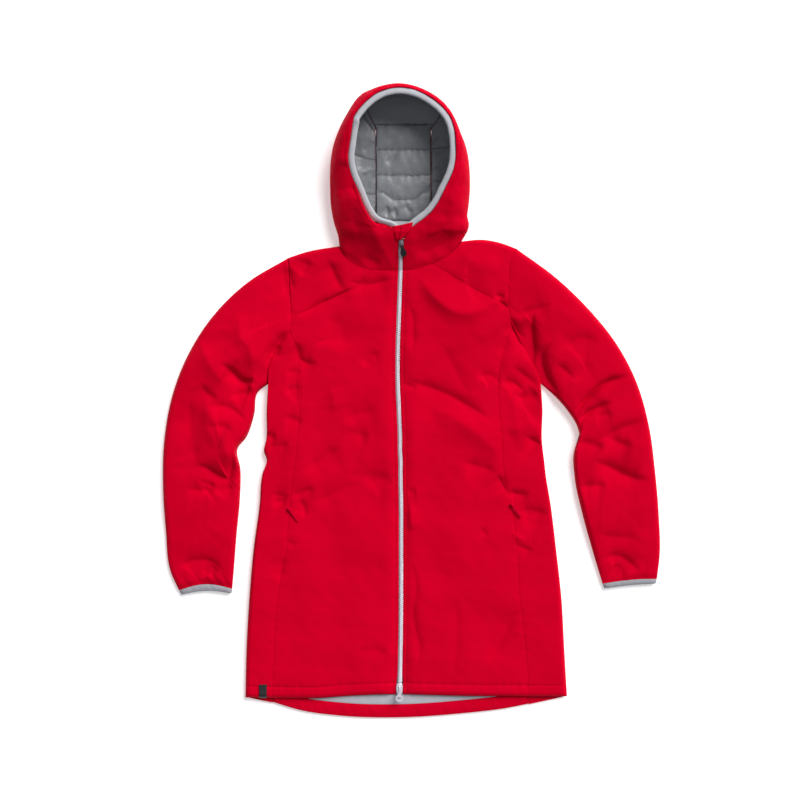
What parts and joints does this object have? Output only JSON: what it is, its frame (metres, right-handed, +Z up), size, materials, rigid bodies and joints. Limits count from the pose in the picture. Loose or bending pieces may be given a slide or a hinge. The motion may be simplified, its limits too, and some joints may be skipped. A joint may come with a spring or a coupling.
{
  "type": "long insulated hooded coat, laid flat",
  "caption": "Thigh-length padded coat with a quilted-lined hood, princess seams, elastic cuffs, dropped back hem and a two-way front zip, laid flat on its back.",
  "frame": {"origin": "centre of the laid coat's outline, on the surface that it lies on", "axes": "+Y from the hem towards the hood, +Z up off the surface, +X towards the right as seen from above"},
  "size_m": [0.9103, 1.1531, 0.0874],
  "materials": {
    "shell": "matte woven polyester, red",
    "lining": "quilted taffeta, grey",
    "binding": "elastic binding, pale grey",
    "zip_metal": "satin zinc",
    "red_metal": "red lacquered zinc",
    "pull_rubber": "moulded black rubber",
    "label": "black woven tab"
  },
  "bodies": {
    "coat": {"back_panel": "shell", "front_left": "shell", "front_right": "shell", "yoke_left": "shell", "yoke_right": "shell", "side_left": "shell", "side_right": "shell", "sleeve_left": "shell", "sleeve_right": "shell", "cuff_binding_left": "binding", "cuff_binding_right": "binding", "hood_left": "shell", "hood_centre": "shell", "hood_right": "shell", "hood_lining_left": "lining", "hood_lining_centre": "lining", "hood_lining_right": "lining", "hood_binding": "binding", "neck_band": "binding", "chin_guard": "shell", "zip_tape_left": "binding", "zip_tape_right": "binding", "zip_chain": "zip_metal", "top_slider": "zip_metal", "bottom_slider": "zip_metal", "pocket_slider_left": "red_metal", "pocket_slider_right": "red_metal", "back_hem_facing": "shell", "back_hem_lining": "lining", "hem_label": "label"},
    "top_tab": {"top_pull": "pull_rubber"},
    "bottom_tab": {"bottom_pull": "zip_metal"},
    "pocket_tab_left": {"pocket_pull_left": "red_metal"},
    "pocket_tab_right": {"pocket_pull_right": "red_metal"}
  },
  "joints": [
    {"name": "top_tab_swing", "type": "hinge", "parent": "coat", "child": "top_tab", "pos_m": [-0.0182, 0.2819, 0.03825], "axis": [-0.9877, -0.1564, 0], "range_deg": [0, 130]},
    {"name": "bottom_tab_swing", "type": "hinge", "parent": "coat", "child": "bottom_tab", "pos_m": [-0.0219, -0.527, 0.0195], "axis": [-1, 0, 0], "range_deg": [0, 130]},
    {"name": "pocket_tab_left_swing", "type": "hinge", "parent": "coat", "child": "pocket_tab_left", "pos_m": [-0.22005, -0.19891, 0.0209], "axis": [-0.7986, -0.6018, 0], "range_deg": [0, 120]},
    {"name": "pocket_tab_right_swing", "type": "hinge", "parent": "coat", "child": "pocket_tab_right", "pos_m": [0.18652, -0.19086, 0.0209], "axis": [-0.788, -0.6157, 0], "range_deg": [0, 120]}
  ]
}
